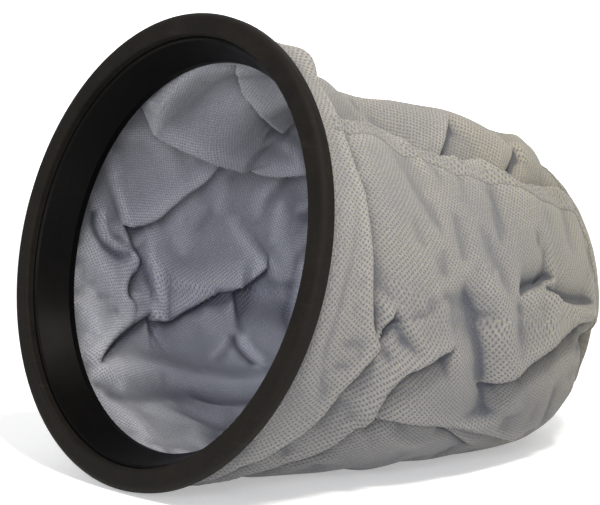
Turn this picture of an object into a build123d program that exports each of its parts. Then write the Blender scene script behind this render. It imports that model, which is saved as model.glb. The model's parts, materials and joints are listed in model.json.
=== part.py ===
from build123d import *
import math
import os

# Reusable cloth filter bag for the drum of a dust collector, lying on its side.
# Millimetres. The floor is z = 0, the mouth faces -Y and leans back, and the bag runs towards +Y.

# ---- driving dimensions ----
LIP_RADIUS = 152.5          # outside of the rubber lip, a 12 inch mouth
LIP_INNER_RADIUS = 138.0
LIP_THICKNESS = 9.0
LIP_EDGE_RADIUS = 4.5       # large rounding on the front outer edge
LIP_INNER_EDGE_RADIUS = 2.0
LIP_SEAT_DEPTH = 6.0        # depth of the step that the collar sits in
DRUM_SEAT_RADIUS = 149.8    # inside of the raised face that hangs on a drum's rim
COLLAR_RADIUS = 143.0       # outside of the collar's skirt
COLLAR_DEPTH = 33.0
COLLAR_WALL = 2.5
THROAT_RADIUS = 126.8
THROAT_LAND = 5.0           # straight length at the back of the funnel
FUNNEL_FRONT_RADIUS = 135.4
LEAN = 12.2                 # how far the mouth leans back, degrees
MOUTH_HEIGHT = 151.2        # centre of the mouth's front face above the floor
MOUTH_Y = -164.56           # puts the middle of the whole part over the origin

CLOTH = 2.5                 # wall of the plain cloth solids
CLOTH_GAP = 0.3             # room between the cloth and the collar's skirt
BEAD_RADIUS = 1.6           # rolled hem round the neck hoop
HOOP_RADIUS = 0.95
BEAD_DEPTH = 11.0
NECK_STITCH_DEPTH = 17.0
NECK_STITCHES = 96
SEAM_WIDTH = 10.0
SEAM_THICKNESS = 1.2
# Where the side seam crosses each section, from the neck to the base, degrees up from the +X side.
SEAM_ANGLES = (42.0, 42.0, 45.0, 50.0, 42.0, 39.0, 37.0, 37.0)
STITCH_PITCH = 7.0
SEAM_ROW_SPACING = 5.0      # between the two rows of stitches
BASE_GAP = 0.8              # between the side and base solids, which move apart
BASE_SEAM_WIDTH = 7.0
BASE_STITCHES = 64
STITCH = (4.2, 0.7, 0.45)   # length, width and height of one stitch
OUTLINE_POINTS = 24

ROUNDNESS = 2.1             # superellipse power of the upper half of each section

# Stations of the bag: distance behind the mouth's centre, lean in degrees, half width, top, bottom,
# height of the widest place, superellipse power below it, sideways shift.
STATIONS = [
    (62.0, 10.0, 144.0, 270.0, 0.5, 142.0, 2.1, 0.0),
    (108.0, 5.0, 142.0, 248.0, 0.1, 120.0, 2.6, 3.0),
    (165.0, 2.0, 139.0, 248.0, 0.1, 108.0, 3.0, 5.0),
    (225.0, 0.0, 132.0, 242.0, 0.1, 102.0, 3.2, 8.0),
    (278.0, 0.0, 122.0, 229.0, 1.0, 98.0, 2.7, 5.0),
    (306.0, 0.0, 111.0, 216.0, 8.0, 98.0, 2.5, 3.0),
]
BASE_STATIONS = [
    (306.0, 0.0, 111.0, 216.0, 8.0, 98.0, 2.5, 3.0),
    (325.0, 0.0, 101.5, 206.0, 16.0, 99.0, 2.3, 1.0),
    (344.0, 0.0, 86.0, 188.0, 34.0, 104.0, 2.2, -2.0),
    (355.0, 0.0, 70.0, 171.0, 51.0, 107.0, 2.1, -4.0),
    (360.5, 0.0, 54.0, 155.0, 67.0, 108.0, 2.1, -6.0),
]

lean = math.radians(LEAN)
outward = Vector(0, -math.cos(lean), math.sin(lean))
mouth = Plane(origin=(0, MOUTH_Y, MOUTH_HEIGHT), x_dir=(1, 0, 0), z_dir=-outward)


def turned(points_and_edges):
    """A full turn of a closed outline, drawn as radius and depth, about the mouth's axis."""
    face = make_face(points_and_edges)
    ring = revolve(face, axis=Axis.Z, revolution_arc=360)
    return mouth * ring


def outline(*corners):
    """A closed polygon in the radius and depth plane."""
    points = [(radius, 0, depth) for radius, depth in corners]
    return Polyline(*points, close=True)


def mouth_gasket():
    """Soft rubber lip: flat face, big outer rounding, small inner rounding, step for the collar."""
    outer_flat = LIP_RADIUS - LIP_EDGE_RADIUS
    inner_flat = LIP_INNER_RADIUS + LIP_INNER_EDGE_RADIUS
    seat_radius = COLLAR_RADIUS + 0.1
    outer_mid = outer_flat + LIP_EDGE_RADIUS * math.sin(math.radians(45))
    outer_mid_depth = LIP_EDGE_RADIUS * (1 - math.cos(math.radians(45)))
    inner_mid = inner_flat - LIP_INNER_EDGE_RADIUS * math.sin(math.radians(45))
    inner_mid_depth = LIP_INNER_EDGE_RADIUS * (1 - math.cos(math.radians(45)))
    front = Line((inner_flat, 0, 0), (outer_flat, 0, 0))
    outer_round = ThreePointArc(
        (outer_flat, 0, 0),
        (outer_mid, 0, outer_mid_depth),
        (LIP_RADIUS, 0, LIP_EDGE_RADIUS),
    )
    back = Polyline(
        (LIP_RADIUS, 0, LIP_EDGE_RADIUS),
        (LIP_RADIUS, 0, LIP_THICKNESS - 0.8),
        (LIP_RADIUS - 0.8, 0, LIP_THICKNESS),
        (DRUM_SEAT_RADIUS, 0, LIP_THICKNESS),
        (DRUM_SEAT_RADIUS, 0, LIP_THICKNESS - 0.4),
        (seat_radius, 0, LIP_THICKNESS - 0.4),
        (seat_radius, 0, LIP_SEAT_DEPTH),
        (LIP_INNER_RADIUS, 0, LIP_SEAT_DEPTH),
        (LIP_INNER_RADIUS, 0, LIP_INNER_EDGE_RADIUS),
    )
    inner_round = ThreePointArc(
        (LIP_INNER_RADIUS, 0, LIP_INNER_EDGE_RADIUS),
        (inner_mid, 0, inner_mid_depth),
        (inner_flat, 0, 0),
    )
    return turned([front, outer_round, back, inner_round])


def collar():
    """Moulded channel: a skirt that carries the cloth and a funnel that ends in the throat."""
    front = LIP_SEAT_DEPTH + 0.1
    web_back = LIP_THICKNESS + 0.5
    land_start = COLLAR_DEPTH - THROAT_LAND
    skirt_inner = COLLAR_RADIUS - COLLAR_WALL
    return turned(
        outline(
            (FUNNEL_FRONT_RADIUS + 1.2, front),
            (COLLAR_RADIUS, front),
            (COLLAR_RADIUS, COLLAR_DEPTH - 0.8),
            (COLLAR_RADIUS - 0.8, COLLAR_DEPTH),
            (skirt_inner, COLLAR_DEPTH),
            (skirt_inner, web_back),
            (FUNNEL_FRONT_RADIUS + 2.4, web_back),
            (THROAT_RADIUS + COLLAR_WALL, land_start + 0.6),
            (THROAT_RADIUS + COLLAR_WALL, COLLAR_DEPTH - 0.8),
            (THROAT_RADIUS + COLLAR_WALL - 0.8, COLLAR_DEPTH),
            (THROAT_RADIUS + 0.6, COLLAR_DEPTH),
            (THROAT_RADIUS, COLLAR_DEPTH - 0.6),
            (THROAT_RADIUS, land_start),
            (FUNNEL_FRONT_RADIUS, front + 1.4),
        )
    )


def neck_radius():
    """Outer radius of the cloth where it lies on the collar's skirt."""
    return COLLAR_RADIUS + CLOTH_GAP + CLOTH


def bead_centre():
    """Radius of the middle of the rolled hem."""
    return neck_radius() + BEAD_RADIUS + 0.25


def neck_hoop():
    """Round wire that keeps the rolled hem in shape."""
    ring = Torus(bead_centre(), HOOP_RADIUS)
    return mouth * (Pos(0, 0, BEAD_DEPTH) * ring)


def hem():
    """The cloth's edge rolled round the hoop."""
    tube = Torus(bead_centre(), BEAD_RADIUS) - Torus(bead_centre(), HOOP_RADIUS + 0.1)
    return mouth * (Pos(0, 0, BEAD_DEPTH) * tube)


def neck_section(depth, radius):
    """A circle of cloth round the mouth's axis, as a closed spline like the other sections."""
    plane = mouth.offset(depth)
    points = []
    for step in range(OUTLINE_POINTS):
        turn = 2 * math.pi * step / OUTLINE_POINTS
        points.append(plane.from_local_coords((radius * math.cos(turn), -radius * math.sin(turn), 0)))
    return make_face(Spline(*points, periodic=True))


def power(value, exponent):
    """A signed power, for superellipses."""
    return math.copysign(abs(value) ** exponent, value)


def station_point(station, turn, inset):
    """A point of a bag section: round above its widest place and squarer where it lies on the floor."""
    distance, tilt, half_width, top, bottom, widest, low_power, shift = station
    above = math.sin(turn) >= 0
    exponent = 2 / (ROUNDNESS if above else low_power)
    height = (top - widest if above else widest - bottom) - inset
    across = shift + (half_width - inset) * power(math.cos(turn), exponent)
    z = widest + height * power(math.sin(turn), exponent)
    lean_back = (z - (top + bottom) / 2) * math.tan(math.radians(tilt))
    return Vector(across, MOUTH_Y + distance + lean_back, z)


def bag_section(station, inset):
    """The closed face of a bag section, set in by a wall thickness."""
    points = []
    for step in range(OUTLINE_POINTS):
        turn = 2 * math.pi * step / OUTLINE_POINTS
        points.append(station_point(station, turn, inset))
    return make_face(Spline(*points, periodic=True))


def side_body(inset):
    """The solid inside the side cloth's outer face, or inside its wall when inset."""
    start = LIP_THICKNESS + 0.3
    sections = [
        neck_section(start, neck_radius() - inset),
        neck_section(NECK_STITCH_DEPTH + 6, neck_radius() - inset),
        neck_section(COLLAR_DEPTH + 1, neck_radius() + 0.9 - inset),
    ]
    sections += [bag_section(station, inset) for station in STATIONS]
    return loft(sections, ruled=True)


def bag_side():
    """Tube of filter cloth from the neck to the base."""
    return side_body(0) - side_body(CLOTH)


def base_body(inset):
    """The closed end of the bag, or its inside when inset."""
    first = base_edge(BASE_GAP)
    rest = [list(station) for station in BASE_STATIONS[1:]]
    for station in rest:
        station[0] -= inset
    sections = [bag_section(first, inset)] + [bag_section(station, inset) for station in rest]
    return loft(sections, ruled=True)


def bag_base():
    """Base panel of filter cloth, puffed out by the folds behind it."""
    return base_body(0) - base_body(CLOTH)


def base_edge(behind):
    """The section of the base panel a short way behind where it starts."""
    share = behind / (BASE_STATIONS[1][0] - BASE_STATIONS[0][0])
    return [low + (high - low) * share for low, high in zip(BASE_STATIONS[0], BASE_STATIONS[1])]


def base_seam():
    """Bound seam allowance that joins the side to the base, standing on the base's edge."""
    front = bag_section(base_edge(BASE_GAP), -SEAM_THICKNESS)
    back = bag_section(base_edge(BASE_GAP + BASE_SEAM_WIDTH), -SEAM_THICKNESS)
    return loft([front, back]) - base_body(0)


def stitch_at(point, along, normal):
    """One stitch of thread lying on a surface."""
    plane = Plane(origin=point, x_dir=along, z_dir=normal)
    return plane * Box(*STITCH)


def neck_stitching():
    """One row of stitches that closes the rolled hem."""
    radius = neck_radius() + STITCH[2] / 2 + 0.15
    plane = mouth.offset(NECK_STITCH_DEPTH)
    stitches = []
    for step in range(NECK_STITCHES):
        turn = 2 * math.pi * (step + 0.5) / NECK_STITCHES
        radial = plane.from_local_coords((math.cos(turn), math.sin(turn), 0)) - plane.origin
        around = plane.from_local_coords((-math.sin(turn), math.cos(turn), 0)) - plane.origin
        stitches.append(stitch_at(plane.origin + radial * radius, around, radial))
    return Compound(children=stitches)


def seam_frames():
    """Points and outward normals down the side seam, one for each section."""
    turns = [math.radians(angle) for angle in SEAM_ANGLES]
    neck = [
        (mouth.offset(NECK_STITCH_DEPTH + 6), neck_radius()),
        (mouth.offset(COLLAR_DEPTH + 1), neck_radius() + 0.9),
    ]
    frames = []
    for (section, radius), turn in zip(neck, turns):
        point = section.from_local_coords((radius * math.cos(turn), -radius * math.sin(turn), 0))
        frames.append((point, (point - section.origin).normalized()))
    for station, turn in zip(STATIONS, turns[len(neck):]):
        point = station_point(station, turn, 0)
        ahead = station_point(station, turn + 0.02, 0)
        across = (ahead - point).normalized()
        frames.append((point, across.cross(Vector(0, 1, 0)).normalized() * -1))
    return frames


def seam_strip(frames, low, high, half_width):
    """A strip that follows the side seam between two heights above the cloth."""
    faces = []
    for point, normal in frames:
        across = normal.cross(Vector(0, 1, 0)).normalized()
        corners = []
        for side, lift in ((-1, low), (1, low), (1, high), (-1, high)):
            corners.append(point + across * (side * half_width) + normal * lift)
        faces.append(make_face(Polyline(*corners, close=True)))
    return loft(faces, ruled=True)


def side_seam():
    """Lapped strip where the tube of cloth is joined, from the neck to the base."""
    strip = seam_strip(seam_frames(), -3.0, SEAM_THICKNESS, SEAM_WIDTH / 2)
    return strip - side_body(0)


def side_stitching():
    """Two rows of stitches down the lapped seam, none of them across a bend in it."""
    lift = SEAM_THICKNESS + STITCH[2] / 2 + 0.5
    stitches = []
    frames = seam_frames()
    for (start, start_normal), (end, end_normal) in zip(frames, frames[1:]):
        run = end - start
        count = int(run.length / STITCH_PITCH)
        for step in range(count):
            share = (step + 0.5) / count
            normal = start_normal * (1 - share) + end_normal * share
            along = run.normalized()
            normal = (normal - along * normal.dot(along)).normalized()
            across = normal.cross(along)
            for side in (-1, 1):
                row = start + run * share + across * (side * SEAM_ROW_SPACING / 2)
                stitches.append(stitch_at(row + normal * lift, along, normal))
    return Compound(children=stitches)


def base_stitching():
    """One row of stitches round the base seam."""
    station = base_edge(BASE_GAP + BASE_SEAM_WIDTH / 2)
    lift = SEAM_THICKNESS + 0.9
    stitches = []
    for step in range(BASE_STITCHES):
        turn = 2 * math.pi * (step + 0.5) / BASE_STITCHES
        point = station_point(station, turn, -lift)
        ahead = station_point(station, turn + 0.02, -lift)
        along = (ahead - point).normalized()
        stitches.append(stitch_at(point, along, along.cross(Vector(0, 1, 0))))
    return Compound(children=stitches)


def main():
    os.makedirs("parts", exist_ok=True)
    nodes = {
        "mouth_gasket": mouth_gasket(),
        "collar": collar(),
        "neck_hoop": neck_hoop(),
        "hem": hem(),
        "neck_stitching": neck_stitching(),
        "bag_side": bag_side(),
        "side_seam": side_seam(),
        "side_stitching": side_stitching(),
        "bag_base": bag_base(),
        "base_seam": base_seam(),
        "base_stitching": base_stitching(),
    }
    for name, shape in nodes.items():
        export_step(shape, f"parts/{name}.step")
    box = Compound(children=list(nodes.values())).bounding_box()
    print("low corner", box.min, "high corner", box.max)


main()
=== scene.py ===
import json
import math

import bpy
import numpy as np
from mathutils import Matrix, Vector


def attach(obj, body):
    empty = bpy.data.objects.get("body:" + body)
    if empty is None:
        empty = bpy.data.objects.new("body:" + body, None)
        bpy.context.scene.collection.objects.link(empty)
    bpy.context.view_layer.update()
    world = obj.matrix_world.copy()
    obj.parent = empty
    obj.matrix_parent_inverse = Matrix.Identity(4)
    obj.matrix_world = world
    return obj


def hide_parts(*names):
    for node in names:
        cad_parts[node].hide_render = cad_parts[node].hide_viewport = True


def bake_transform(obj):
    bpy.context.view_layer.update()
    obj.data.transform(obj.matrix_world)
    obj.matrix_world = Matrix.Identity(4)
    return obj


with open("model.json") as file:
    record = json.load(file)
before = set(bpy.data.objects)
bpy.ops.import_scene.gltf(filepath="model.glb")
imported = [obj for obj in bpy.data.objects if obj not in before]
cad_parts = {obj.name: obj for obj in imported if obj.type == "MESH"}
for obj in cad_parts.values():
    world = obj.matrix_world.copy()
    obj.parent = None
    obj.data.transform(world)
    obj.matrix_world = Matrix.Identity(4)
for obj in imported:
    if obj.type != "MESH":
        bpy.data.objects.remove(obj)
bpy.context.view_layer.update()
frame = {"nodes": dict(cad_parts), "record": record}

MM = 0.001

# ---- places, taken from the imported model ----
mounts = {m["name"]: m for m in frame["record"]["mounts"]}
THROAT_DEPTH = 30.2                     # mm from the mouth's face to the middle of the throat
outward = np.array(mounts["throat"]["axis"], float)
outward /= np.linalg.norm(outward)
MOUTH = np.array(mounts["throat"]["pos_m"], float) / MM + outward * THROAT_DEPTH
LEAN = math.degrees(math.asin(outward[2]))
RING_UP = np.array([0.0, outward[2], -outward[1]])      # upwards in the plane of the mouth
RING_X = np.array([1.0, 0.0, 0.0])                      # and sideways

# ---- the bag's cut and shape, mm ----
NECK_RADIUS = 145.8
CLOTH_THICKNESS = 0.9
SMALL_CREASES = 64
CREASE_SEED = 11
ROWS = 280                              # rings of points from the neck to the middle of the base
COLUMNS = 520
FLOOR_CLEARANCE = 0.5                   # lowest height of the folded cloth
SETTLED_CLEARANCE = 1.2                 # and after the simulation, with room for a seam below it
COARSE = 4                              # the simulation's mesh has every fourth point
HEM_DEPTH = 11.0                        # rolled hem: distance behind the mouth's face, circle, thickness
HEM_CENTRE = 147.65
HEM_RADIUS = 1.6
STITCH_LENGTH = 4.2
RING_STITCHES = 96                      # in each row that goes all the way round
NECK_STITCH_RUN = 7.4                   # where the rows of thread lie along the cloth
BASE_STITCH_RUN = 4.0                   # behind the base seam
SEAM_STITCH_STEP = 6.5
SEAM_STITCH_SHIFT = 2.6                 # from the side seam's middle to each of its two rows
FRAMES = 20                             # length of the cloth simulation
HOLD = 0.22                             # how strongly it keeps to the folded shape, from 0 to 1
GROWTH = 0.010                          # how much too large the cloth is
BASE_SEAM_DISTANCE = 306.0              # how far behind the mouth the base is sewn on


def neck_station(depth, radius):
    """A circle round the mouth's axis, written like the bag's other stations."""
    lean = math.radians(LEAN)
    height = MOUTH[2] - depth * math.sin(lean)
    rise = radius * math.cos(lean)
    return (depth * math.cos(lean), LEAN, radius, height + rise, height - rise, height, 2.0, 0.0, 2.0)


# distance behind the mouth, lean in degrees, half width, top, bottom, widest height,
# superellipse power below, sideways shift, superellipse power above
STATIONS = np.array([
    neck_station(9.6, NECK_RADIUS),
    neck_station(23.0, NECK_RADIUS),
    neck_station(34.0, NECK_RADIUS + 0.9),
    (62.0, 10.0, 144.0, 270.0, 0.5, 142.0, 2.1, 0.0, 2.05),
    (108.0, 5.0, 142.0, 248.0, 0.1, 120.0, 2.6, 3.0, 2.1),
    (165.0, 2.0, 139.0, 248.0, 0.1, 108.0, 3.0, 5.0, 2.1),
    (225.0, 0.0, 132.0, 242.0, 0.1, 102.0, 3.2, 8.0, 2.1),
    (278.0, 0.0, 122.0, 229.0, 1.0, 98.0, 2.7, 5.0, 2.1),
    (306.0, 0.0, 111.0, 216.0, 8.0, 98.0, 2.5, 3.0, 2.1),
    (325.0, 0.0, 101.5, 206.0, 16.0, 99.0, 2.3, 1.0, 2.1),
    (344.0, 0.0, 86.0, 188.0, 34.0, 104.0, 2.2, -2.0, 2.1),
    (355.0, 0.0, 70.0, 171.0, 51.0, 107.0, 2.1, -4.0, 2.1),
    (360.5, 0.0, 54.0, 155.0, 67.0, 108.0, 2.1, -6.0, 2.1),
    (361.5, 0.0, 25.0, 133.0, 88.0, 109.0, 2.1, -6.0, 2.1),
    (361.6, 0.0, 0.6, 111.0, 110.0, 110.5, 2.1, -6.0, 2.1),
])


def station_runs():
    """Length of cloth from the neck to each station."""
    runs = [0.0]
    for one, two in zip(STATIONS, STATIONS[1:]):
        drop = ((one[2] - two[2]) + (one[3] - two[3]) / 2 + (two[4] - one[4]) / 2) / 2
        runs.append(runs[-1] + math.hypot(two[0] - one[0], drop if two[0] > 300 else 0.0))
    return np.array(runs)


RUNS = station_runs()
LENGTH = RUNS[-1]
BASE_RUN = float(np.interp(BASE_SEAM_DISTANCE, STATIONS[:, 0], RUNS))


def stations_at(run):
    """The stations' values at any run, on smooth curves through them."""
    slopes = np.zeros_like(STATIONS)
    slopes[1:-1] = (STATIONS[2:] - STATIONS[:-2]) / (RUNS[2:] - RUNS[:-2])[:, None]
    slopes[0] = (STATIONS[1] - STATIONS[0]) / (RUNS[1] - RUNS[0])
    slopes[-1] = (STATIONS[-1] - STATIONS[-2]) / (RUNS[-1] - RUNS[-2])
    run = np.clip(run, 0, LENGTH)
    k = np.clip(np.searchsorted(RUNS, run, side="right") - 1, 0, len(RUNS) - 2)
    step = (RUNS[k + 1] - RUNS[k])[:, None]
    u = ((run - RUNS[k]) / step[:, 0])[:, None]
    return (
        (2 * u**3 - 3 * u**2 + 1) * STATIONS[k]
        + (u**3 - 2 * u**2 + u) * step * slopes[k]
        + (3 * u**2 - 2 * u**3) * STATIONS[k + 1]
        + (u**3 - u**2) * step * slopes[k + 1]
    )


def smooth_bag(runs, turns):
    """The bag without folds: points, one row for each run and one column for each turn, mm."""
    values = [column[:, None] for column in stations_at(runs).T]
    distance, tilt, half_width, top, bottom, widest, low_power, shift, high_power = values
    cos, sin = np.cos(turns)[None], np.sin(turns)[None]
    above = sin >= 0
    power = np.where(above, 2 / high_power, 2 / low_power)
    height = np.where(above, top - widest, widest - bottom)
    x = shift + half_width * np.sign(cos) * np.abs(cos) ** power
    z = widest + height * np.sign(sin) * np.abs(sin) ** power
    y = MOUTH[1] + distance + (z - (top + bottom) / 2) * np.tan(np.radians(tilt))
    return np.stack([x, y, z], -1)


def surface_normals(points):
    """Unit normals that point out of the bag."""
    along = np.gradient(points, axis=0)
    around = (np.roll(points, -1, 1) - np.roll(points, 1, 1)) / 2
    normals = np.cross(along, around)
    normals /= np.linalg.norm(normals, axis=-1, keepdims=True) + 1e-9
    return normals


def mean_radii(points):
    """The length of each of a grid's rings, as the radius of a circle that long."""
    return np.linalg.norm(np.roll(points, -1, 1) - points, axis=-1).sum(1) / (2 * math.pi)


def smoothstep(x):
    """0 below 0, 1 above 1, and an even curve between them."""
    x = np.clip(x, 0, 1)
    return x * x * (3 - 2 * x)


# ---- folds ----
# path: (run in mm, turn in degrees) along the fold's line. On a path that leads away from the neck, the left
# is the side of rising turn, and distances across the line are positive there.
# bumps: (offset across, width, height, power). tuck: a step at the line, (height and width on the left,
# height and width on the right, softness). fade: how far the fold dies away at its start and end.
# lean: how far the cloth slides over the line. Above zero the right side slides left, below zero the left
# side slides right. All but the turns and the powers are in mm.
FOLDS = [
    # the cloth leaves the end of the collar's skirt and slumps
    dict(path=[(26, 130), (26, 110), (26, 90), (26, 60), (26, 46), (24, 40), (23, 34), (25, 28), (27, 24),
               (31, 20), (35, 12), (39, 4), (44, -6), (50, -13), (57, -16)],
         tuck=(-12, 20, 1.5, 9, 2.2), fade=(40, 12), lean=1.5),
    dict(path=[(40, 125), (40, 100), (40, 80), (42, 62)], bumps=[(0, 14, -7, 2)], fade=(30, 20)),
    dict(path=[(20, 20), (19, 10), (18, 3), (16, -3), (16, -10), (16, -18), (22, -26), (31, -34)],
         tuck=(-1.2, 8, 1.8, 9, 3.5), fade=(24, 22)),
    dict(path=[(26, -74), (25, -90), (26, -120), (26, -150), (26, 180), (26, 150)],
         tuck=(6, 14, 0, 9, 3.0), fade=(30, 40)),
    # two folds that sweep up from under the neck
    dict(path=[(8, -86), (11, -76), (13, -66), (16, -56), (24, -48), (31, -43), (38, -36), (41, -29),
               (47, -24), (52, -20), (57, -15), (62, -10), (68, -5)],
         tuck=(4, 12, -10, 13, 0.8), fade=(50, 10), lean=-2.5),
    dict(path=[(22, -86), (28, -76), (34, -66), (42, -58), (53, -54), (61, -48), (66, -40), (70, -34),
               (72, -28), (75, -23), (81, -18), (88, -15), (103, -9), (120, -6)],
         tuck=(4, 12, -11, 16, 0.8), fade=(50, 14), lean=-2.5),
    # a hollow in the near side, steeper behind
    dict(path=[(124, 8), (129, 4), (137, 0), (145, -4), (151, -11), (157, -20), (162, -30)],
         tuck=(-9, 8, -9, 22, 1.2), bumps=[(20, 10, 3, 2)], fade=(22, 12)),
    # the near side's upper edge, with the slack top behind it
    dict(path=[(20, 39), (49, 42), (83, 49), (100, 50), (111, 48), (123, 45), (140, 43), (156, 42), (177, 43),
               (186, 41), (194, 39), (206, 36), (226, 36), (256, 37), (300, 38)],
         tuck=(-20, 24, 4, 14, 1.2), bumps=[(48, 20, 7, 2)], fade=(18, 30), lean=5.0),
    # creases in the slack top
    dict(path=[(181, 63), (165, 55), (149, 48), (140, 45)],
         tuck=(-8, 13, 3, 12, 1.0), fade=(12, 6), lean=2.0),
    dict(path=[(248, 56), (235, 50), (219, 44), (212, 40)], tuck=(-13, 8, -4, 8, 1.0), fade=(8, 6)),
    dict(path=[(195, 100), (215, 85), (238, 70), (262, 62)], bumps=[(0, 22, -9, 2)], fade=(24, 24)),
    dict(path=[(60, 84), (90, 76), (130, 72), (170, 74)], tuck=(-3, 14, 3, 14, 4.0), fade=(20, 20)),
    # pinches towards the far corner
    dict(path=[(180, 5), (190, 6), (200, 7), (210, 8), (226, 10)],
         tuck=(-10, 11, 3, 9, 1.0), fade=(16, 10), lean=2.0),
    dict(path=[(205, 6), (215, 5.5), (227, 4), (258, 3), (284, 3)],
         tuck=(-8, 10, 4, 10, 1.0), fade=(12, 24), lean=1.2),
    dict(path=[(152, -16), (166, -13), (178, -10), (192, -7), (207, -5), (224, -3), (245, -1), (275, -1),
               (296, -1)],
         tuck=(4, 14, -10, 15, 0.8), fade=(16, 20), lean=-2.0),
    # where the near side meets the floor
    dict(path=[(66, -38), (73, -36), (87, -33), (108, -31), (126, -31), (141, -32), (159, -34), (179, -38),
               (203, -44), (216, -48)],
         tuck=(5, 14, -11, 14, 0.8), fade=(14, 30), lean=-2.5),
    dict(path=[(130, -35), (150, -41), (174, -50)], tuck=(3, 7, -5, 8, 1.2), fade=(8, 10), lean=-1.5),
    dict(path=[(276, -5), (300, -8), (318, -11), (336, -16)], tuck=(1, 14, -16, 38, 8.0), fade=(24, 14)),
    # the far side: the slack top hangs into the bag as a flap
    dict(path=[(34, 133), (48, 130), (62, 129), (77, 127), (91, 125), (112, 126), (131, 129), (149, 132),
               (169, 132), (188, 130), (235, 128)],
         tuck=(4, 14, -28, 40, 1.4), fade=(24, 40), lean=7.0),
    dict(path=[(40, 88), (47, 90), (61, 95), (75, 98), (96, 100), (126, 108), (149, 114)],
         tuck=(6, 10, -6, 13, 1.0), fade=(12, 14), lean=3.0),
    dict(path=[(121, 128), (122, 138), (116, 146), (108, 150), (100, 156), (92, 162), (83, 166), (68, 171)],
         tuck=(-10, 22, 12, 17, 1.0), fade=(6, 8), lean=-2.5),
    dict(path=[(50, 169), (52, 174), (57, 177), (67, 178), (80, 176)],
         bumps=[(0, 3.5, -4, 1.3), (6, 4, 3, 2)], fade=(8, 8)),
    dict(path=[(80, 176), (86, 179), (78, 184), (75, 189), (83, 190)],
         tuck=(-4, 12, 4, 9, 1.2), fade=(6, 6)),
    dict(path=[(46, 216), (50, 213), (65, 205), (80, 197), (97, 190), (107, 190)],
         tuck=(6, 10, -5, 15, 1.2), fade=(10, 8)),
    dict(path=[(97, 190), (107, 190), (126, 185), (151, 181), (174, 180), (186, 178), (200, 172)],
         tuck=(9, 13, -8, 18, 1.0), fade=(8, 10), lean=4.0),
    dict(path=[(174, 180), (192, 181), (208, 182), (235, 184)], bumps=[(4, 18, 10, 2)], fade=(12, 16)),
    dict(path=[(171, 191), (174, 198), (185, 206)], bumps=[(0, 5, 3, 1.6), (-8, 6, -2, 2)], fade=(8, 8)),
    dict(path=[(40, 224), (66, 224), (98, 221), (132, 223), (167, 225), (220, 222)],
         bumps=[(0, 12, 5, 2), (-22, 12, -4, 2)], fade=(20, 20)),
]


def small_creases():
    """Soft random creases between the main folds."""
    chance = np.random.default_rng(CREASE_SEED)
    creases = []
    for _ in range(SMALL_CREASES):
        run, turn = chance.uniform(50, 330), chance.uniform(0, 360)
        way, bend = chance.uniform(0, 2 * math.pi), chance.uniform(-0.5, 0.5)
        length, high = chance.uniform(22, 75), chance.uniform(0.6, 1.7) * chance.choice((-1, 1))
        width = chance.uniform(4, 10)
        path = []
        for _ in range(4):
            path.append((run, turn))
            run += length / 3 * math.cos(way)
            turn += length / 3 * math.sin(way) * 0.45
            way += bend
        creases.append(dict(path=path, bumps=[(0, width, high, 1.6), (width * 1.5, width, -high * 0.6, 2)],
                            fade=(length / 3, length / 3)))
    return creases


def fold_line(path):
    """A denser path on smooth curves through its points."""
    points = np.array(path, float)
    ends = np.vstack([2 * points[0] - points[1], points, 2 * points[-1] - points[-2]])
    line = []
    for i in range(1, len(ends) - 2):
        a, b, c, d = ends[i - 1:i + 3]
        for u in np.linspace(0, 1, 6, endpoint=False):
            line.append(0.5 * (2 * b + (c - a) * u + (2 * a - 5 * b + 4 * c - d) * u**2
                               + (3 * b - a - 3 * c + d) * u**3))
    line.append(points[-1])
    return np.array(line)


def fold_reach(fold):
    """How far across its line a fold can be felt."""
    reach = [abs(offset) + 2.6 * width for offset, width, _, _ in fold.get("bumps", ())]
    if "tuck" in fold:
        reach.append(2.6 * max(fold["tuck"][1], fold["tuck"][3]))
    return max(reach)


def fold_shape(fold, across):
    """Height of a fold, and how far it leans, at distances across its line."""
    height = np.zeros(across.shape)
    push = np.zeros(across.shape)
    for offset, width, rise, power in fold.get("bumps", ()):
        height += rise * np.exp(-np.abs((across - offset) / width) ** power)
    if "tuck" in fold:
        left, left_width, right, right_width, soft = fold["tuck"]
        share = 0.5 + 0.5 * np.tanh(across / soft)
        height += share * left * np.exp(-np.abs(across / left_width) ** 1.25)
        height += (1 - share) * right * np.exp(-np.abs(across / right_width) ** 1.25)
        lean = fold.get("lean", 0.0)
        side, width = (1 - share, right_width) if lean > 0 else (share, left_width)
        push = lean * side * np.exp(-((across / width) ** 2))
    return height, push


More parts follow.
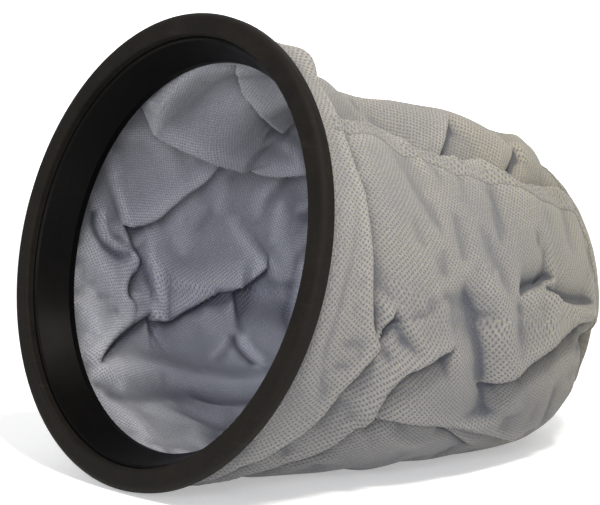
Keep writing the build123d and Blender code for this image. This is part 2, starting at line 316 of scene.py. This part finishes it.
def add_fold(heights, slides, runs, turns_deg, widths, fold):
    """Adds one fold to the heights and to the sideways slides of the cloth's points."""
    path = np.array(fold["path"], float)
    path[:, 1] = np.degrees(np.unwrap(np.radians(path[:, 1])))
    line = fold_line(path)
    reach = fold_reach(fold)
    middle = (line[:, 1].max() + line[:, 1].min()) / 2
    turn = (turns_deg - middle + 180) % 360 - 180 + middle
    scale = np.interp(line[:, 0], runs, widths) * math.pi / 180
    row = (runs >= line[:, 0].min() - reach) & (runs <= line[:, 0].max() + reach)
    near = reach / scale.min()
    col = (turn >= line[:, 1].min() - near) & (turn <= line[:, 1].max() + near)
    if not row.any() or not col.any():
        return
    r, t = np.meshgrid(runs[row], turn[col], indexing="ij")
    wide = np.interp(runs[row], runs, widths)[:, None] * math.pi / 180
    best = np.full(r.shape, 1e9)
    across, along = np.zeros(r.shape), np.zeros(r.shape)
    way_r, way_t = np.zeros(r.shape), np.zeros(r.shape)
    total = 0.0
    for (r0, t0), (r1, t1) in zip(line, line[1:]):
        dr, dt = r1 - r0, (t1 - t0) * wide
        size = np.sqrt(dr * dr + dt * dt) + 1e-9
        pr, pt = r - r0, (t - t0) * wide
        share = (pr * dr + pt * dt) / size**2
        held = np.clip(share, 0, 1)
        gap = np.hypot(pr - held * dr, pt - held * dt)
        closer = gap < best
        best = np.where(closer, gap, best)
        side = (dr * pt - dt * pr) / size
        across = np.where(closer, np.where(side < 0, -gap, gap), across)
        length = float(np.hypot(dr, (t1 - t0) * wide.mean()))
        along = np.where(closer, total + share * length, along)
        way_r = np.where(closer, -dt / size, way_r)
        way_t = np.where(closer, dr / size, way_t)
        total += length
    start, end = fold["fade"]
    strength = smoothstep((along + start * 0.2) / start) * smoothstep((total - along + end * 0.2) / end)
    height, push = fold_shape(fold, across)
    block = np.ix_(row, col)
    heights[block] += height * strength
    slides[block + (0,)] += push * strength * way_r
    slides[block + (1,)] += push * strength * way_t


def folded_bag():
    """The bag's outer face with all its folds, as a grid of points in mm."""
    runs = np.linspace(0, LENGTH - 0.5, ROWS)
    turns = np.linspace(0, 2 * math.pi, COLUMNS, endpoint=False)
    points = smooth_bag(runs, turns)
    normals = surface_normals(points)
    ring = mean_radii(points)
    heights = np.zeros(points.shape[:2])
    slides = np.zeros(points.shape[:2] + (2,))
    for fold in FOLDS + small_creases():
        add_fold(heights, slides, runs, np.degrees(turns), ring, fold)
    # the collar holds the neck round: folds fade out over it and stay shallow
    calm = smoothstep((runs - 5) / 9)[:, None]
    lowest = -1.5 - 60 * smoothstep((runs - 23) / 30)[:, None]
    heights = np.maximum(heights * calm, lowest)
    slides *= calm[..., None]
    along = np.gradient(points, axis=0)
    along /= np.linalg.norm(along, axis=-1, keepdims=True) + 1e-9
    around = np.cross(along, normals)
    around *= np.sign((around * (np.roll(points, -1, 1) - points)).sum(-1, keepdims=True))
    points = points + normals * heights[..., None] + along * slides[..., :1] + around * slides[..., 1:]
    points[..., 2] = rest_on_floor(points[..., 2])
    return runs, turns, points


def rest_on_floor(z):
    """Cloth that would go through the floor lies on it."""
    low, soft = FLOOR_CLEARANCE, 3.0
    return low + soft * np.logaddexp(0.0, (z - low) / soft)


# ---- meshes ----
def settled(runs, points):
    """The bag after a short cloth simulation: the cloth is a little too large for its shape, so it buckles
    into small wrinkles between the folds. Nothing collides in it, so the points are kept above the floor
    afterwards. Returns a finer grid's points."""
    coarse = points[::COARSE, ::COARSE]
    rows, columns = coarse.shape[:2]
    faces = []
    for i in range(rows - 1):
        for j in range(columns):
            k = (j + 1) % columns
            faces.append((i * columns + j, (i + 1) * columns + j, (i + 1) * columns + k, i * columns + k))
    sheet = new_object("cloth_in_simulation", coarse.reshape(-1, 3), faces)
    group = sheet.vertex_groups.new(name="held")
    hold = HOLD + (1 - HOLD) * (1 - smoothstep((runs[::COARSE] - 16) / 30))
    hold = np.maximum(hold, smoothstep((runs[::COARSE] - (LENGTH - 45)) / 40))
    for i in range(rows):
        group.add(list(range(i * columns, (i + 1) * columns)), float(hold[i]), "REPLACE")
    cloth = sheet.modifiers.new("cloth", "CLOTH")
    values = cloth.settings
    values.quality = 5
    values.mass = 0.15
    values.tension_stiffness = 12.0
    values.compression_stiffness = 12.0
    values.shear_stiffness = 4.0
    values.bending_stiffness = 5.0
    values.tension_damping = 8.0
    values.compression_damping = 8.0
    values.air_damping = 2.0
    values.vertex_group_mass = "held"
    values.pin_stiffness = 1.0
    values.shrink_min = -GROWTH
    values.effector_weights.gravity = 0.3
    cloth.collision_settings.use_collision = False
    scene = bpy.context.scene
    scene.frame_start, scene.frame_end = 1, FRAMES
    cloth.point_cache.frame_start, cloth.point_cache.frame_end = 1, FRAMES
    for number in range(1, FRAMES + 1):
        scene.frame_set(number)
    shaped = sheet.evaluated_get(bpy.context.evaluated_depsgraph_get())
    moved = np.zeros(rows * columns * 3)
    shaped.data.vertices.foreach_get("co", moved)
    moved = moved.reshape(rows, columns, 3) / MM - coarse
    scene.frame_set(1)
    bpy.data.objects.remove(sheet)
    row = np.minimum(np.arange(len(points)) / COARSE, rows - 1.001)
    column = np.arange(points.shape[1]) / COARSE
    return points + between(between(moved, row, False).swapaxes(0, 1), column, True).swapaxes(0, 1)


def between(values, places, closed):
    """Values on a smooth curve through a grid's rows, at places between them."""
    low = places.astype(int)
    u = (places - low)[:, None, None]
    count = len(values)
    index = [low - 1, low, low + 1, low + 2]
    index = [i % count for i in index] if closed else [np.clip(i, 0, count - 1) for i in index]
    a, b, c, d = (values[i] for i in index)
    return b + 0.5 * u * (c - a + u * (2 * a - 5 * b + 4 * c - d + u * (3 * (b - c) + d - a)))


def new_object(name, points, faces, smooth=True):
    """A mesh object from points in mm."""
    mesh = bpy.data.meshes.new(name)
    mesh.from_pydata([tuple(p) for p in np.asarray(points) * MM], [], faces)
    mesh.update()
    if smooth:
        mesh.polygons.foreach_set("use_smooth", [True] * len(mesh.polygons))
    piece = bpy.data.objects.new(name, mesh)
    bpy.context.scene.collection.objects.link(piece)
    return piece


def corner_points(piece):
    """The number of the point at each corner of each face."""
    numbers = np.zeros(len(piece.data.loops), int)
    piece.data.loops.foreach_get("vertex_index", numbers)
    return numbers


def add_relief(piece, values):
    """Ridges above 0.5 and creases below it, for the cloth's material: painted shade in the creases, a
    painted highlight on the ridges.
    """
    tone = piece.data.attributes.new("relief", "FLOAT", "POINT")
    tone.data.foreach_set("value", values.astype(np.float32))


def cloth_shell(name, runs, turns, outer, close_middle):
    """Cloth with an outside and an inside face, joined along its open edges, from a grid of points."""
    rows, columns = outer.shape[:2]
    inner = outer - surface_normals(outer) * CLOTH_THICKNESS
    points = np.concatenate([outer.reshape(-1, 3), inner.reshape(-1, 3)])
    count = rows * columns
    faces, slots = [], []
    for i in range(rows - 1):
        for j in range(columns):
            k = (j + 1) % columns
            a, b, c, d = i * columns + j, i * columns + k, (i + 1) * columns + k, (i + 1) * columns + j
            faces.append((a, d, c, b))
            slots.append(0)
            faces.append((count + a, count + b, count + c, count + d))
            slots.append(1)
    ends = [0] if close_middle else [0, rows - 1]
    for i in ends:
        for j in range(columns):
            k = (j + 1) % columns
            a, b = i * columns + j, i * columns + k
            faces.append((a, b, count + b, count + a) if i == 0 else (a, count + a, count + b, b))
            slots.append(0)
    if close_middle:
        last = (rows - 1) * columns
        faces.append(tuple(last + j for j in reversed(range(columns))))
        slots.append(0)
        faces.append(tuple(count + last + j for j in range(columns)))
        slots.append(1)
    piece = new_object(name, points, faces)
    piece.data.polygons.foreach_set("material_index", slots)
    add_cloth_map(piece, runs, turns, outer)
    # the relief drives painted shade in the creases and a painted highlight on the ridges, turned over for
    # the inside face
    height = relief(outer).ravel() / 4
    add_relief(piece, np.concatenate([0.5 + height, 0.5 - height]))
    return piece


def spread(values, radius):
    """A blurred copy of a grid that closes on itself around the bag."""
    for _ in range(2):
        padded = np.concatenate([values[:, -radius:], values, values[:, :radius]], 1)
        total = np.cumsum(np.concatenate([np.zeros_like(padded[:, :1]), padded], 1), 1)
        values = (total[:, 2 * radius + 1:] - total[:, :-2 * radius - 1]) / (2 * radius + 1)
        padded = np.concatenate([values[:1]] * radius + [values] + [values[-1:]] * radius)
        total = np.cumsum(np.concatenate([np.zeros_like(padded[:1]), padded]), 0)
        values = (total[2 * radius + 1:] - total[:-2 * radius - 1]) / (2 * radius + 1)
    return values


def relief(points):
    """How far the cloth stands out from the cloth around it, in mm: ridges above zero, creases below."""
    normals = surface_normals(points)
    flat = surface_normals(spread(points, 4))
    fine = ((points - spread(points, 2)) * normals).sum(-1)
    broad = ((points - spread(points, 6)) * flat).sum(-1)
    return np.where(fine < 0, fine * 2.0, fine * 0.6) + broad * 0.35


def add_cloth_map(piece, runs, turns, grid):
    """A map in metres of cloth: along the bag, and around it."""
    rows, columns = grid.shape[:2]
    width = np.minimum(mean_radii(grid), NECK_RADIUS)
    layer = piece.data.uv_layers.new(name="cloth")
    loops = corner_points(piece)
    sizes = np.zeros(len(piece.data.polygons), int)
    piece.data.polygons.foreach_get("loop_total", sizes)
    polygon = np.repeat(np.arange(len(sizes)), sizes)
    index = loops % (rows * columns)
    row, column = index // columns, index % columns
    turn = turns[column].copy()
    low = np.full(len(sizes), 9.0)
    high = np.full(len(sizes), -9.0)
    np.minimum.at(low, polygon, turn)
    np.maximum.at(high, polygon, turn)
    wrapped = (high - low)[polygon] > math.pi
    turn = np.where(wrapped & (turn < math.pi), turn + 2 * math.pi, turn)
    flat = np.stack([runs[row] * MM, (turn - math.pi / 2) * width[row] * MM], -1)
    layer.data.foreach_set("uv", flat.astype(np.float32).ravel())


# ---- seams, hem and stitches ----
def on_bag(at_run, at_turn, lift):
    """Points on the finished cloth at runs in mm and turns in degrees, lifted off it."""
    at_run, at_turn, lift = np.broadcast_arrays(at_run, at_turn, lift)
    row = np.interp(at_run, runs, np.arange(len(runs)))
    column = at_turn / 360 * COLUMNS
    i = np.minimum(row.astype(int), len(runs) - 2)
    j = np.floor(column).astype(int)
    u, v = (row - i)[..., None], (column - j)[..., None]
    j, k = j % COLUMNS, (j + 1) % COLUMNS

    def mid(grid):
        here = grid[i, j] * (1 - v) + grid[i, k] * v
        after = grid[i + 1, j] * (1 - v) + grid[i + 1, k] * v
        return here * (1 - u) + after * u

    return mid(outer) + mid(out_normals) * lift[..., None]


def band(name, top, under, closed, flat):
    """A strip of cloth between two grids of points, one row for each place along it."""
    count, across = top.shape[:2]
    points = np.concatenate([top.reshape(-1, 3), under.reshape(-1, 3)])
    size = count * across
    faces = []
    for i in range(count if closed else count - 1):
        k = (i + 1) % count
        for j in range(across - 1):
            a, b, c, d = i * across + j, i * across + j + 1, k * across + j + 1, k * across + j
            faces.append((a, b, c, d))
            faces.append((size + d, size + c, size + b, size + a))
        for j in (0, across - 1):
            a, d = i * across + j, k * across + j
            faces.append((a, d, size + d, size + a) if j == 0 else (d, a, size + a, size + d))
    for i in () if closed else (0, count - 1):
        for j in range(across - 1):
            a, b = i * across + j, i * across + j + 1
            faces.append((b, a, size + a, size + b) if i == 0 else (a, b, size + b, size + a))
    piece = new_object(name, points, faces)
    layer = piece.data.uv_layers.new(name="cloth")
    loops = corner_points(piece)
    row, column = (loops % size) // across, loops % across
    spots = np.stack([row / count * flat[0], column / across * flat[1]], -1)
    layer.data.foreach_set("uv", spots.astype(np.float32).ravel())
    # painted shade along the strip's edges where it meets the cloth, and a faint painted highlight on the
    # rest
    edge = np.abs(np.linspace(-1, 1, across)) > 0.9
    add_relief(piece, np.tile(np.where(edge, 0.38, 0.55), 2 * count))
    piece.data.materials.append(cloth_out)
    return piece


def seam_turns(at_run):
    """Where the side seam lies: just below the near side's upper edge."""
    places = (0, 20, 49, 83, 111, 140, 186, 226, 300)
    return np.interp(at_run, places, (36, 36, 39, 45, 44, 39, 37, 33, 33))


def side_seam_strip():
    """The lapped strip along the tube of cloth."""
    along = np.linspace(15, BASE_RUN - 3, 190)
    offsets = np.array([-5.2, -4.8, -2.4, 0, 2.4, 4.8, 5.2])
    lifts = np.array([0.1, 0.5, 0.45, 0.4, 0.45, 0.5, 0.1])
    radius = np.interp(along, runs, ring_radii)
    places = seam_turns(along)[:, None] + np.degrees(offsets[None] / radius[:, None])
    top = on_bag(along[:, None], places, lifts[None])
    under = on_bag(along[:, None], places, np.full((1, 7), -0.3))
    return band("side_seam_strip", top, under, False, ((BASE_RUN - 18) * MM, 0.010))


def base_seam_strip():
    """The bound edge where the base is sewn on."""
    around = np.linspace(0, 360, COLUMNS, endpoint=False)[:, None]
    places = BASE_RUN + np.array([[0.6, 0.9, 3.5, 6.0, 7.2, 7.5]])
    top = on_bag(places, around, np.array([[0.1, 0.8, 0.7, 0.7, 0.8, 0.1]]))
    under = on_bag(places, around, np.full((1, 6), -0.3))
    return band("base_seam_strip", top, under, True, (0.70, 0.007))


def hem_roll():
    """The cloth's edge, rolled over the neck hoop."""
    count, round_count = 300, 12
    turn = np.linspace(0, 2 * math.pi, count, endpoint=False)[:, None]
    angle = np.linspace(0, 2 * math.pi, round_count + 1)[None]
    thick = HEM_RADIUS + 0.07 * np.sin(37 * turn) + 0.05 * np.sin(83 * turn + 1)
    radius = HEM_CENTRE + thick * np.cos(angle)
    depth = HEM_DEPTH + thick * np.sin(angle)
    top = in_mouth(radius, depth, turn)
    inner = in_mouth(HEM_CENTRE + 1.15 * np.cos(angle), HEM_DEPTH + 1.15 * np.sin(angle), turn)
    return band("hem_roll", top, inner, True, (0.93, 0.010))


def in_mouth(radius, depth, turn):
    """Points at a radius, depth and turn about the mouth's axis."""
    radius, depth, turn = np.broadcast_arrays(radius, depth, turn)
    across = np.cos(turn)[..., None] * RING_X
    up = np.sin(turn)[..., None] * RING_UP
    return MOUTH + radius[..., None] * (across + up) - depth[..., None] * outward


def stitches(name, spots, ways, ups):
    """Short lengths of thread that go into the cloth at both ends."""
    sides = np.cross(ups, ways)
    steps = ((-0.5, 0.10, -0.15), (-0.32, 0.30, 0.25), (0.32, 0.30, 0.25), (0.5, 0.10, -0.15))
    points, faces = [], []
    for spot, way, side, up in zip(spots, ways, sides, ups):
        first = len(points)
        for along, thick, rise in steps:
            for corner in range(6):
                angle = corner * math.pi / 3
                points.append(spot + way * along * STITCH_LENGTH + side * thick * math.cos(angle)
                              + up * (rise + thick * math.sin(angle)))
        for ring in range(3):
            for corner in range(6):
                a, b = first + ring * 6 + corner, first + ring * 6 + (corner + 1) % 6
                faces.append((a, b, b + 6, a + 6))
        faces.append(tuple(first + corner for corner in reversed(range(6))))
        faces.append(tuple(first + 18 + corner for corner in range(6)))
    piece = new_object(name, np.array(points), faces)
    piece.data.materials.append(thread)
    return piece


def row_of_stitches(name, at_runs, at_turns, lift):
    """Stitches along lines of places on the cloth."""
    spots, ways, ups = [], [], []
    for line_runs, line_turns in zip(at_runs, at_turns):
        here = on_bag(line_runs, line_turns, lift)
        above = on_bag(line_runs, line_turns, lift + 1.0)
        way = np.gradient(here, axis=0)
        way /= np.linalg.norm(way, axis=-1, keepdims=True)
        up = above - here
        up -= way * (up * way).sum(-1, keepdims=True)
        up /= np.linalg.norm(up, axis=-1, keepdims=True)
        spots.extend(here)
        ways.extend(way)
        ups.extend(up)
    return stitches(name, spots, ways, ups)


# ---- materials ----
class Nodes:
    """A short way to write node trees."""

    def __init__(self, name):
        self.material = bpy.data.materials.new(name)
        self.material.use_nodes = True
        self.tree = self.material.node_tree
        self.shader = self.tree.nodes["Principled BSDF"]

    def add(self, kind, **values):
        node = self.tree.nodes.new(kind)
        for key, value in values.items():
            if hasattr(node, key) and key not in node.inputs:
                setattr(node, key, value)
            else:
                node.inputs[key.replace("_", " ")].default_value = value
        return node

    def link(self, out, into):
        self.tree.links.new(out, into)
        return into

    def math(self, operation, one, two=None):
        node = self.tree.nodes.new("ShaderNodeMath")
        node.operation = operation
        for socket, value in zip(node.inputs, (one, two)):
            if value is None:
                continue
            if isinstance(value, (int, float)):
                socket.default_value = value
            else:
                self.link(value, socket)
        return node.outputs[0]

    def scaled(self, source, scale):
        node = self.tree.nodes.new("ShaderNodeVectorMath")
        node.operation = "MULTIPLY"
        self.link(source, node.inputs[0])
        node.inputs[1].default_value = scale
        return node.outputs[0]

    def noise(self, vector, scale, detail=2.0, roughness=0.5, dimensions="3D"):
        node = self.tree.nodes.new("ShaderNodeTexNoise")
        node.noise_dimensions = dimensions
        self.link(vector, node.inputs["Vector"])
        node.inputs["Scale"].default_value = scale
        node.inputs["Detail"].default_value = detail
        node.inputs["Roughness"].default_value = roughness
        return node.outputs["Fac"]

    def ramp(self, factor, stops):
        node = self.tree.nodes.new("ShaderNodeValToRGB")
        self.link(factor, node.inputs["Fac"])
        elements = node.color_ramp.elements
        while len(elements) < len(stops):
            elements.new(0.5)
        for element, (place, colour) in zip(elements, stops):
            element.position = place
            element.color = (*colour, 1) if len(colour) == 3 else colour
        return node.outputs["Color"]

    def mix(self, factor, one, two, blend="MIX"):
        node = self.tree.nodes.new("ShaderNodeMix")
        node.data_type = "RGBA"
        node.blend_type = blend
        for value, socket in ((factor, node.inputs[0]), (one, node.inputs[6]), (two, node.inputs[7])):
            if isinstance(value, (int, float)):
                socket.default_value = value
            elif isinstance(value, tuple):
                socket.default_value = (*value, 1)
            else:
                self.link(value, socket)
        return node.outputs[2]

    def bump(self, height, strength, distance, normal=None):
        node = self.tree.nodes.new("ShaderNodeBump")
        node.inputs["Strength"].default_value = strength
        node.inputs["Distance"].default_value = distance
        self.link(height, node.inputs["Height"])
        if normal is not None:
            self.link(normal, node.inputs["Normal"])
        return node.outputs["Normal"]


def grey(value):
    """A colour with no tint."""
    return (value, value, value)


def cloth_material(name, pale, dark, painted_crease_shade, dot_pitch, dot_depth, dot_colour, height_shade_tints, depth_light_tints):
    """Filter cloth: embossed dots on a fine weave, with soft differences of tone, and painted shade and
    light.
    """
    n = Nodes(name)
    uv = n.add("ShaderNodeUVMap", uv_map="cloth").outputs["UV"]
    place = n.tree.nodes.new("ShaderNodeTexCoord").outputs["Object"]
    dots = n.tree.nodes.new("ShaderNodeTexVoronoi")
    dots.voronoi_dimensions = "2D"
    dots.feature = "F1"
    dots.inputs["Scale"].default_value = 1 / dot_pitch
    dots.inputs["Randomness"].default_value = 0.16
    turned = n.add("ShaderNodeVectorRotate", rotation_type="Z_AXIS", Angle=math.radians(32))
    n.link(uv, turned.inputs["Vector"])
    n.link(turned.outputs["Vector"], dots.inputs["Vector"])
    pit = n.ramp(dots.outputs["Distance"], [(0.08, grey(0.0)), (0.42, grey(1.0))])
    warp = n.noise(n.scaled(uv, (500.0, 3200.0, 1.0)), 1.0, 2.0, 0.6, "2D")
    weft = n.noise(n.scaled(uv, (3200.0, 500.0, 1.0)), 1.0, 2.0, 0.6, "2D")
    weave = n.math("ADD", warp, weft)
    fluff = n.noise(place, 900.0, 3.0, 0.65)
    tone = n.noise(place, 16.0, 4.0, 0.55)
    stain = n.noise(place, 45.0, 5.0, 0.6)
    base = n.mix(n.ramp(tone, [(0.35, grey(0.0)), (0.65, grey(1.0))]), pale, dark)
    base = n.mix(n.ramp(stain, [(0.3, grey(0.0)), (0.8, grey(0.35))]), base, tuple(c * 0.8 for c in dark))
    height = n.add("ShaderNodeAttribute", attribute_name="relief").outputs["Fac"]
    # painted shade: creases darkened towards a bluish grey
    base = n.mix(n.ramp(height, [(0.12, grey(0.85)), (0.50, grey(0.0))]), base, painted_crease_shade)
    # painted highlight: ridges lightened above the cloth's own colour
    base = n.mix(n.ramp(height, [(0.50, grey(0.0)), (0.85, grey(0.5))]), base, tuple(c * 1.3 for c in pale))
    threads = n.ramp(n.math("MULTIPLY", weave, 0.5), [(0.36, grey(0.62)), (0.64, grey(1.2))])
    base = n.mix(1.0, base, threads, "MULTIPLY")
    fleck = n.noise(n.scaled(uv, (900.0, 900.0, 1.0)), 1.0, 3.0, 0.7, "2D")
    flecks = n.ramp(fleck, [(0.35, (0.84, 0.90, 1.06)), (0.65, (1.16, 1.10, 0.94))])
    base = n.mix(1.0, base, flecks, "MULTIPLY")
    base = n.mix(pit, dot_colour, base)
    # painted shade by height: the outside darker and bluer near the floor, the inside darker towards the top
    sides = n.tree.nodes.new("ShaderNodeSeparateXYZ")
    n.link(place, sides.inputs[0])
    low = n.ramp(n.math("MULTIPLY", sides.outputs["Z"], 4.0), height_shade_tints)
    # painted light by depth: the outside warmer towards the back, the inside darker near the mouth
    depth = n.math("MULTIPLY", n.math("ADD", sides.outputs["Y"], 0.2), 2.5)
    back = n.ramp(depth, depth_light_tints)
    base = n.mix(1.0, n.mix(1.0, base, low, "MULTIPLY"), back, "MULTIPLY")
    n.link(base, n.shader.inputs["Base Color"])
    rough = n.ramp(fluff, [(0.2, grey(0.78)), (0.8, grey(0.98))])
    n.link(rough, n.shader.inputs["Roughness"])
    n.shader.inputs["Specular IOR Level"].default_value = 0.2
    n.shader.inputs["Sheen Weight"].default_value = 0.12
    n.shader.inputs["Sheen Roughness"].default_value = 0.6
    first = n.bump(pit, 0.55, dot_depth)
    second = n.bump(weave, 0.35, 0.00016, first)
    third = n.bump(fluff, 0.25, 0.00012, second)
    n.link(third, n.shader.inputs["Normal"])
    return n.material


def rubber_material():
    """Matte brown-black moulded rubber with fine speckle and faint scuffs."""
    n = Nodes("gasket_rubber")
    place = n.tree.nodes.new("ShaderNodeTexCoord").outputs["Object"]
    speckle = n.noise(place, 1400.0, 3.0, 0.7)
    mottle = n.noise(place, 60.0, 4.0, 0.6)
    scuff = n.noise(n.scaled(place, (30.0, 30.0, 220.0)), 1.0, 3.0, 0.6)
    base = n.mix(n.ramp(mottle, [(0.3, grey(0.0)), (0.7, grey(1.0))]), (0.0042, 0.0034, 0.0026),
                 (0.0085, 0.0070, 0.0054))
    base = n.mix(n.ramp(speckle, [(0.55, grey(0.0)), (0.75, grey(0.5))]), base, (0.036, 0.030, 0.024))
    base = n.mix(n.ramp(scuff, [(0.62, grey(0.0)), (0.78, grey(0.25))]), base, (0.032, 0.027, 0.022))
    n.link(base, n.shader.inputs["Base Color"])
    n.link(n.ramp(mottle, [(0.2, grey(0.62)), (0.8, grey(0.8))]), n.shader.inputs["Roughness"])
    n.shader.inputs["Specular IOR Level"].default_value = 0.12
    fine = n.bump(speckle, 0.3, 0.0002)
    n.link(n.bump(mottle, 0.15, 0.0006, fine), n.shader.inputs["Normal"])
    return n.material


def collar_material():
    """Smooth black moulding with faint turning marks."""
    n = Nodes("collar_plastic")
    place = n.tree.nodes.new("ShaderNodeTexCoord").outputs["Object"]
    dust = n.noise(place, 420.0, 4.0, 0.6)
    patch = n.noise(place, 35.0, 3.0, 0.5)
    base = n.mix(n.ramp(dust, [(0.5, grey(0.0)), (0.85, grey(0.5))]), (0.0020, 0.0018, 0.0018),
                 (0.007, 0.0065, 0.0062))
    n.link(base, n.shader.inputs["Base Color"])
    n.link(n.ramp(patch, [(0.25, grey(0.34)), (0.75, grey(0.5))]), n.shader.inputs["Roughness"])
    n.shader.inputs["Specular IOR Level"].default_value = 0.05
    n.link(n.bump(dust, 0.12, 0.0002), n.shader.inputs["Normal"])
    return n.material


def thread_material():
    """Grey twisted thread."""
    n = Nodes("thread")
    place = n.tree.nodes.new("ShaderNodeTexCoord").outputs["Object"]
    twist = n.noise(place, 2600.0, 2.0, 0.5)
    strands = n.ramp(twist, [(0.35, grey(0.0)), (0.65, grey(1.0))])
    base = n.mix(strands, (0.23, 0.22, 0.20), (0.33, 0.315, 0.29))
    n.link(base, n.shader.inputs["Base Color"])
    n.shader.inputs["Roughness"].default_value = 0.7
    n.link(n.bump(twist, 0.4, 0.0001), n.shader.inputs["Normal"])
    return n.material


def steel_material():
    """Plain spring wire with drawing marks."""
    n = Nodes("hoop_steel")
    place = n.tree.nodes.new("ShaderNodeTexCoord").outputs["Object"]
    marks = n.noise(place, 800.0, 3.0, 0.6)
    n.link(n.mix(marks, (0.42, 0.41, 0.4), (0.6, 0.59, 0.57)), n.shader.inputs["Base Color"])
    n.shader.inputs["Metallic"].default_value = 1.0
    n.link(n.ramp(marks, [(0.2, grey(0.25)), (0.8, grey(0.5))]), n.shader.inputs["Roughness"])
    return n.material


def dress(node, material):
    """Gives a carried-over CAD node its material."""
    piece = frame["nodes"][node]
    piece.data.materials.clear()
    piece.data.materials.append(material)


# ---- camera, light and floor ----
def paper(name, tone, glow):
    """Plain paper that glows a little, for the floor and the backdrop."""
    n = Nodes(name)
    n.shader.inputs["Base Color"].default_value = (*grey(tone), 1)
    n.shader.inputs["Roughness"].default_value = 0.95
    n.shader.inputs["Specular IOR Level"].default_value = 0.0
    n.shader.inputs["Emission Color"].default_value = (1.0, 1.0, 1.0, 1)
    n.shader.inputs["Emission Strength"].default_value = glow
    return n.material


def lamp(name, place, target, size, power, colour):
    """A square soft light that points at a target."""
    data = bpy.data.lights.new(name, "AREA")
    data.shape = "SQUARE"
    data.size = size
    data.energy = power
    data.color = colour
    light = bpy.data.objects.new(name, data)
    light.location = place
    way = Vector(target) - Vector(place)
    light.rotation_euler = way.to_track_quat("-Z", "Y").to_euler()
    bpy.context.scene.collection.objects.link(light)


def studio():
    """The camera, pale paper below and behind, two soft lights and a pale sky."""
    camera = bpy.data.objects.new("camera", bpy.data.cameras.new("camera"))
    camera.location = (0.79291, -0.77509, 0.23565)
    camera.rotation_euler = (math.radians(85.0), 0.0, math.radians(47.092))
    camera.data.lens = 95.3
    camera.data.sensor_width = 36.0
    camera.data.clip_start = 0.05
    camera.data.clip_end = 50.0
    bpy.context.scene.collection.objects.link(camera)
    bpy.context.scene.camera = camera

    floor = new_object("floor", [(-4000, -4000, 0), (4000, -4000, 0), (4000, 4000, 0), (-4000, 4000, 0)],
                       [(0, 1, 2, 3)], smooth=False)
    floor.data.materials.append(paper("floor_paper", 0.86, 0.35))
    corners = [(-5500, -700, -10), (700, 5500, -10), (700, 5500, 6000), (-5500, -700, 6000)]
    backdrop = new_object("backdrop", corners, [(0, 1, 2, 3)], smooth=False)
    backdrop.data.materials.append(paper("backdrop_paper", 0.8, 0.9))

    lamp("key", (1.0, -0.45, 1.75), (0, 0, 0.12), 0.35, 38.0, (1.0, 0.96, 0.88))
    lamp("fill", (1.0, -1.25, 0.5), (0, -0.05, 0.15), 0.5, 11.0, (0.93, 0.95, 1.0))

    world = bpy.data.worlds.new("studio")
    world.use_nodes = True
    background = world.node_tree.nodes["Background"]
    background.inputs["Color"].default_value = (0.995, 0.998, 1.0, 1)
    background.inputs["Strength"].default_value = 0.45
    bpy.context.scene.world = world
    bpy.context.scene.view_settings.view_transform = "Standard"


studio()
# painted shade and light: the crease colours and the tints by height and depth of both cloths
cloth_out = cloth_material("filter_cloth_outside", (0.270, 0.252, 0.222), (0.220, 0.213, 0.202),
                           (0.060, 0.064, 0.080), 0.0025, 0.0004, (0.095, 0.100, 0.122),
                           [(0.12, (0.63, 0.65, 0.70)), (0.80, grey(1.0))],
                           [(0.50, grey(0.97)), (0.90, (1.0, 0.96, 0.80))])
# painted light: the inside face is the same cloth made brighter and bluer, for the cool light inside the bag
cloth_inside_lit = cloth_material("filter_cloth_inside_lit", (0.62, 0.625, 0.69), (0.50, 0.512, 0.575),
                          (0.060, 0.065, 0.095), 0.0019, 0.0003, (0.26, 0.274, 0.335),
                          [(0.50, grey(1.0)), (0.90, grey(0.66))], [(0.15, grey(0.45)), (0.55, grey(1.0))])
thread = thread_material()
dress("mouth_gasket", rubber_material())
dress("collar", collar_material())
dress("neck_hoop", steel_material())

# ---- pieces ----
runs, turns, outer = folded_bag()
outer = settled(runs, outer)
outer[..., 2] = np.maximum(outer[..., 2], SETTLED_CLEARANCE)
out_normals = surface_normals(outer)
ring_radii = mean_radii(outer)
split = int(np.searchsorted(runs, BASE_RUN))
side = cloth_shell("bag_side_cloth", runs[:split + 1], turns, outer[:split + 1], False)
base = cloth_shell("bag_base_cloth", runs[split:], turns, outer[split:], True)
for piece in (side, base):
    piece.data.materials.append(cloth_out)
    piece.data.materials.append(cloth_inside_lit)
hem = hem_roll()
ring_turns = np.linspace(0, 360, RING_STITCHES, endpoint=False)
neck_row = row_of_stitches("neck_thread", [np.full(RING_STITCHES, NECK_STITCH_RUN)], [ring_turns], 0.0)
seam = side_seam_strip()
seam_runs = np.arange(19, BASE_RUN - 6, SEAM_STITCH_STEP)
seam_shift = np.degrees(SEAM_STITCH_SHIFT / np.interp(seam_runs, runs, ring_radii))
seam_rows = row_of_stitches("side_seam_thread", [seam_runs, seam_runs],
                            [seam_turns(seam_runs) - seam_shift, seam_turns(seam_runs) + seam_shift], 0.3)
bound = base_seam_strip()
base_row = row_of_stitches("base_seam_thread", [np.full(RING_STITCHES, BASE_RUN + BASE_STITCH_RUN)],
                           [ring_turns], 0.6)

for piece, node, slot in ((side, "bag_side", "filter_cloth"), (base, "bag_base", "filter_cloth"),
                          (hem, "hem", "filter_cloth"), (neck_row, "neck_stitching", "thread"),
                          (seam, "side_seam", "filter_cloth"), (seam_rows, "side_stitching", "thread"),
                          (bound, "base_seam", "filter_cloth"), (base_row, "base_stitching", "thread")):
    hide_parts(node)
for piece in (side, seam, seam_rows):
    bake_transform(piece)
for piece in (base, bound, base_row):
    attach(piece, "bag_end")
for piece in (hem, neck_row):
    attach(piece, "rim")
